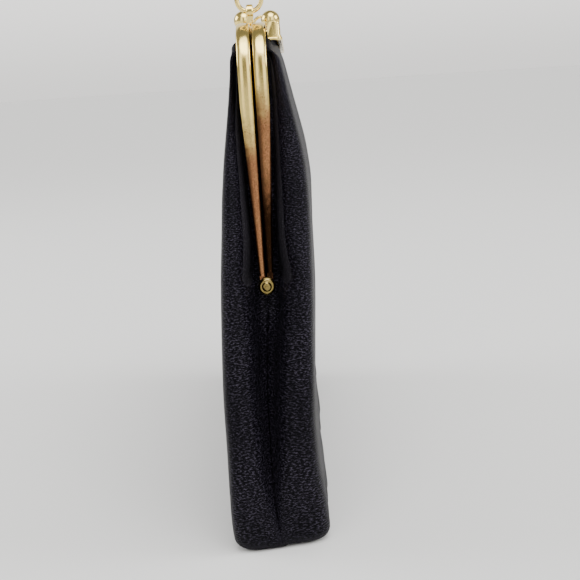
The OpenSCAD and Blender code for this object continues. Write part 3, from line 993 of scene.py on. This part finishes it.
def puckers(side, place, u):
    """Small folds: soft upright waves, gathers along the base seam, and drags and hollows at the ends."""
    x, z = place.x / MM, place.z / MM
    end = smooth((abs(2 * u - 1) - 0.66) / 0.16)
    slow = 0.26 * math.sin(x * 0.075 + 0.03 * z + side) + 0.14 * math.sin(x * 0.19 - 0.05 * z + 2.0)
    drag = math.exp(-(((z - 84) / 22) ** 2)) * math.sin(abs(place.y) / MM * 1.15 + 0.045 * z + side)
    base = smooth((17 - z) / 15) * smooth(z / 2)
    gathers = base * (0.26 * math.sin(x * 0.47 + side) + 0.17 * math.sin(x * 1.13 + 0.7))
    hollows = math.sin(z * 0.13 + 0.35 * place.y / MM + 1.1 * side) * smooth((66 - z) / 30)
    return (slow * (1 - 0.6 * end) + gathers * (1 - end) + end * (0.16 * drag + 0.20 * hollows)) * MM


def cloth_grid(shell, columns, rows):
    """A flat grid bent to a shell, with a UV map in metres; returns it with each vertex's (u, v)."""
    bm = bmesh.new()
    bmesh.ops.create_grid(bm, x_segments=columns, y_segments=rows, size=0.5)
    uv = bm.loops.layers.uv.new("cloth")
    flat = {}
    for vert in bm.verts:
        u, v = vert.co.x + 0.5, vert.co.y + 0.5
        flat[vert] = (u, v)
        column = round(u * columns)
        edge = min(column, columns - column)
        place = shell.point(u, v)
        if edge < 2 and shell.share == 1.0:
            hem = shell.hem(place.z)[edge]
            share = smooth((place.z - HINGE_Z - 1 * MM) / (2 * MM))
            place.x += (math.copysign(hem.x, place.x) - place.x) * share
            place.y += (hem.y - place.y) * share
        vert.co = place
    for face in bm.faces:
        for loop in face.loops:
            u, v = flat[loop.vert]
            loop[uv].uv = (u * MAP_WIDTH * shell.share, v * MAP_HEIGHT)
    bm.normal_update()
    if sum(vert.normal.y for vert in bm.verts) * shell.side < 0:
        bmesh.ops.reverse_faces(bm, faces=bm.faces)
        bm.normal_update()
    return bm, flat


class CLUTCH_OT_satin(Operator):
    """The front and back satin, each one cloth from the seam at one end round to the other"""

    bl_idname = "clutch.satin"
    bl_label = "Satin panels"

    def execute(self, context):
        self.panel("front", FRONT, BAR_LOW.z + 2.2 * MM)
        self.panel("back", BACK, TOP_Z - BAND + 1.2 * MM)
        self.base()
        return {"FINISHED"}

    def panel(self, half, side, top_z):
        """One satin panel, with its small folds fading out at its edges."""
        satin = bpy.context.scene.clutch_satin
        bm, flat = cloth_grid(Shell(side, 0.0, top_z, satin.hem_turn), satin.columns, satin.rows)
        shifts = []
        for vert in bm.verts:
            u, v = flat[vert]
            fade = smooth(min(u, 1 - u) / 0.03) * smooth((1 - v) / 0.12) * smooth(v / 0.03)
            shifts.append(vert.normal * (puckers(side, vert.co, u) * fade))
        for vert, shift in zip(bm.verts, shifts):
            vert.co += shift
        thicken(bm, satin.thickness)
        piece = new_piece("satin_" + half, bm, finish_named("black satin"))
        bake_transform(piece)
        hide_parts("satin_%s_upper" % half, "satin_%s_lower" % half)

    def base(self):
        """The satin under the bag, inside the panels' turned lower edges."""
        bm = bmesh.new()
        bmesh.ops.create_grid(bm, x_segments=120, y_segments=16, size=0.5)
        uv = bm.loops.layers.uv.new("cloth")
        satin = bpy.context.scene.clutch_satin
        inner = 0.7 * satin.hem_turn
        for vert in bm.verts:
            u, v = vert.co.x * 2, vert.co.y * 2
            side = FRONT if v < 0 else BACK
            reach = read(SEAM_X, 0) - inner - abs(v) * read(SLANTS[side], 0)
            y = v * (read(MIDDLE_DEPTHS[side], 0) - inner) * (1 - 0.12 * u**6)
            sag = 0.2 * MM * (1 - math.cos(u * 9)) * (1 - v * v)
            vert.co = (u * reach, y, 0.6 * MM + sag)
        for face in bm.faces:
            for loop in face.loops:
                loop[uv].uv = (loop.vert.co.x + 0.5, loop.vert.co.y + 0.5)
        thicken(bm, satin.thickness)
        piece = new_piece("satin_base", bm, finish_named("black satin"))
        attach(piece, "bag")
        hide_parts("satin_bottom")


class CLUTCH_OT_lining(Operator):
    """The lining pouch and the stiff interlinings, hung inside the satin"""

    bl_idname = "clutch.lining"
    bl_label = "Lining"

    def execute(self, context):
        for side, half in ((FRONT, "front"), (BACK, "back")):
            self.lining(side, half)
            self.interlining(side, half)
        return {"FINISHED"}

    def lining(self, side, half):
        """One lining panel, from the base up into its rail's channel."""
        top_z = TOP_Z - BAND + 1.0 * MM
        bm, _ = cloth_grid(Shell(side, LINING_INSET, top_z, LINING_TURN), columns=170, rows=80)
        thicken(bm, LINING_T)
        piece = new_piece("lining_" + half, bm, finish_named("lining cloth"))
        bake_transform(piece)
        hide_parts("lining_%s_upper" % half, "lining_%s_lower" % half)

    def interlining(self, side, half):
        """The buckram between one satin panel and its lining."""
        top_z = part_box("interlining_" + half)[1].z
        shell = Shell(side, BUCKRAM_INSET, top_z, BUCKRAM_TURN, share=BUCKRAM_SHARE)
        bm, _ = cloth_grid(shell, columns=110, rows=40)
        thicken(bm, BUCKRAM_T)
        piece = new_piece("stiffener_" + half, bm, finish_named("buckram"))
        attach(piece, "bag")
        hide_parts("interlining_" + half)


# ---- finishes, hidden parts and stage ----


class CLUTCH_OT_finishes(Operator):
    """Every finish of the purse"""

    bl_idname = "clutch.finishes"
    bl_label = "Finishes"

    def execute(self, context):
        metal = context.scene.clutch_metal
        satin = context.scene.clutch_satin
        wear = tarnish_group()
        weave = weave_group()
        plate, tarnish_and_shade = tuple(metal.plate), tuple(metal.tarnish_and_shade)
        gold_material("gold plate", wear, plate, tarnish_and_shade, 0.97)
        gold_material("gold wire", wear, plate, tarnish_and_shade, 0.0)
        # Painted shade: the rivet's gold is darkened to stand in for its dark reflections.
        gold_material("gold rivet in painted shade", wear, shade(plate, 0.22), tarnish_and_shade, 0.0)
        black, light = tuple(satin.black), tuple(satin.light)
        cloth_material("black satin", weave, black, light, 0.42, 0.02, 1600.0, 0.9)
        cloth_material(
            "lining cloth", weave, (0.012, 0.011, 0.014), (0.045, 0.042, 0.05), 0.7, 0.1, 2600.0, 0.35
        )
        plain_material("packing cord", (0.62, 0.50, 0.34), (0.38, 0.29, 0.18), 2400.0, 0.9, 0.5)
        plain_material("buckram", (0.80, 0.77, 0.70), (0.62, 0.58, 0.50), 1800.0, 0.9, 0.4)
        plain_material("base card", (0.42, 0.33, 0.23), (0.27, 0.20, 0.13), 900.0, 0.85, 0.3)
        return {"FINISHED"}


class CLUTCH_OT_hidden_parts(Operator):
    """Finishes for the small and inner parts whose CAD shape stays"""

    bl_idname = "clutch.hidden_parts"
    bl_label = "Inner parts"

    def execute(self, context):
        finishes = {
            "bar_rivets": "gold wire", "hinge_washers": "gold wire",
            "packing_cord_front": "packing cord", "packing_cord_back": "packing cord",
            "base_board": "base card",
        }
        for name, finish in finishes.items():
            part = frame["nodes"][name]
            part.data.materials.clear()
            part.data.materials.append(finish_named(finish))
        return {"FINISHED"}


def area_light(name, place, target, size, power):
    """A rectangular soft light that faces a target."""
    data = bpy.data.lights.new(name, "AREA")
    data.shape = "RECTANGLE"
    data.size, data.size_y = size
    data.energy = power
    lamp = bpy.data.objects.new(name, data)
    lamp.location = place
    lamp.rotation_euler = (Vector(target) - Vector(place)).to_track_quat("-Z", "Y").to_euler()
    bpy.context.collection.objects.link(lamp)


class CLUTCH_OT_stage(Operator):
    """The floor, the lights and the camera"""

    bl_idname = "clutch.stage"
    bl_label = "Stage"

    def execute(self, context):
        stage = context.scene.clutch_stage
        self.floor(tuple(stage.floor))
        self.world()
        self.lights()
        self.camera(stage)
        return {"FINISHED"}

    def floor(self, colour):
        """A plain floor that runs out to the horizon."""
        bm = bmesh.new()
        bmesh.ops.create_circle(bm, cap_ends=True, segments=96, radius=30.0)
        piece = new_piece("floor", bm, floor_material(colour), shade=False)

    def world(self):
        """A soft room for reflections: bright before the bag's end, dim overhead and at its sides."""
        world = bpy.data.worlds.new("soft room")
        bpy.context.scene.world = world
        world.use_nodes = True
        tree = world.node_tree
        backdrop = tree.nodes["Background"]
        x, y, z = split_xyz(tree, tree.nodes.new("ShaderNodeTexCoord").outputs["Object"])
        bearing = maths(tree, "ARCTAN2", y, maths(tree, "MULTIPLY", x, -1.0))
        turn = maths(tree, "ABSOLUTE", bearing)

        # Windows before the near end and behind the far one, round a dark middle below.
        left = eased_ramp(tree, bearing, 0.30, 0.75, 1.0, 0.16)
        right = eased_ramp(tree, bearing, -0.95, -0.60, 0.16, 1.0)
        ahead = maths(tree, "MULTIPLY", maths(tree, "MULTIPLY", left, right), 2.6)
        windows = maths(tree, "ADD", ahead, eased_ramp(tree, turn, 2.4, 2.8, 0.0, 0.9))
        low = eased_ramp(tree, z, 0.50, 0.72, 1.0, 0.0)
        middle = eased_ramp(tree, turn, 0.10, 0.24, 0.88, 0.0)
        open_share = maths(tree, "SUBTRACT", 1.0, maths(tree, "MULTIPLY", middle, low))

        # The ceiling begins at a height that leans a little along the bag.
        lean = maths(tree, "MULTIPLY", x, 0.26)
        ceiling = eased_ramp(tree, maths(tree, "MULTIPLY_ADD", z, 0.966, lean), 0.835, 0.875, 0.0, 1.0)
        below = maths(tree, "MULTIPLY", open_share, maths(tree, "SUBTRACT", 1.0, ceiling))
        walls = maths(tree, "MULTIPLY", windows, below)
        room = maths(tree, "MULTIPLY_ADD", ceiling, 0.30, walls)

        # The camera sees an even pale wall in place of that room.
        seen = tree.nodes.new("ShaderNodeLightPath").outputs["Is Camera Ray"]
        wall = maths(tree, "MULTIPLY", seen, eased_ramp(tree, z, -0.01, 0.09, 1.26, 1.75))
        unseen = maths(tree, "MULTIPLY", maths(tree, "SUBTRACT", 1.0, seen), room)
        tree.links.new(maths(tree, "ADD", wall, unseen), backdrop.inputs["Strength"])
        backdrop.inputs["Color"].default_value = (1.0, 0.985, 0.96, 1)

    def lights(self):
        """A broad sun and a weak soft light on each side."""
        centre = (0, 0, 0.08)
        data = bpy.data.lights.new("day", "SUN")
        data.energy = 2.35
        data.angle = math.radians(50)
        sun = bpy.data.objects.new("day", data)
        sun.rotation_euler = Vector((0.45, 0.15, -1.0)).to_track_quat("-Z", "Y").to_euler()
        bpy.context.collection.objects.link(sun)
        area_light("front soft", (-0.2, -1.1, 0.6), centre, (0.7, 0.6), 9.0)
        area_light("back soft", (0.2, 1.1, 0.6), centre, (0.8, 0.6), 9.0)

    def camera(self, stage):
        """The camera before the near end of the bag, looking slightly down."""
        aside, drop, swing = 10.0 * MM, 16.5 * MM, 0.0096
        data = bpy.data.cameras.new("camera")
        data.lens = stage.lens
        data.sensor_width = 36.0
        data.clip_start = 0.01
        lens = bpy.data.objects.new("camera", data)
        bpy.context.collection.objects.link(lens)
        lens.location = (-HALF_FRAME - stage.distance, -aside, TOP_Z - drop)
        facing = Vector((1, swing, -math.tan(stage.pitch)))
        turn = facing.to_track_quat("-Z", "Y").to_matrix() @ Matrix.Rotation(-stage.roll, 3, "Z")
        lens.rotation_euler = turn.to_euler()
        bpy.context.scene.camera = lens


class CLUTCH_PT_panel(Panel):
    """Lists the purse's pieces"""

    bl_idname = "CLUTCH_PT_panel"
    bl_label = "Clutch"
    bl_space_type = "VIEW_3D"
    bl_region_type = "UI"
    bl_category = "Clutch"

    def draw(self, context):
        for step in STEPS:
            self.layout.operator(step.bl_idname)
        for group in SETTINGS:
            settings, box = getattr(context.scene, group), self.layout.box()
            for name in settings.__annotations__:
                box.prop(settings, name)


STEPS = (
    CLUTCH_OT_stage, CLUTCH_OT_finishes, CLUTCH_OT_rails, CLUTCH_OT_front_bar, CLUTCH_OT_clasp,
    CLUTCH_OT_rings, CLUTCH_OT_rivets, CLUTCH_OT_satin, CLUTCH_OT_lining, CLUTCH_OT_hidden_parts,
)
SETTINGS = {
    "clutch_metal": ClutchMetalSettings,
    "clutch_satin": ClutchSatinSettings,
    "clutch_stage": ClutchStageSettings,
}


def register():
    for group in SETTINGS.values():
        bpy.utils.register_class(group)
    for name, group in SETTINGS.items():
        setattr(bpy.types.Scene, name, PointerProperty(type=group))
    for item in STEPS + (CLUTCH_PT_panel,):
        bpy.utils.register_class(item)


def unregister():
    for item in reversed(STEPS + (CLUTCH_PT_panel,)):
        bpy.utils.unregister_class(item)
    for name, group in SETTINGS.items():
        delattr(bpy.types.Scene, name)
        bpy.utils.unregister_class(group)


def main():
    register()
    for step in STEPS:
        group, name = step.bl_idname.split(".")
        getattr(getattr(bpy.ops, group), name)()


if __name__ == "__main__":
    main()
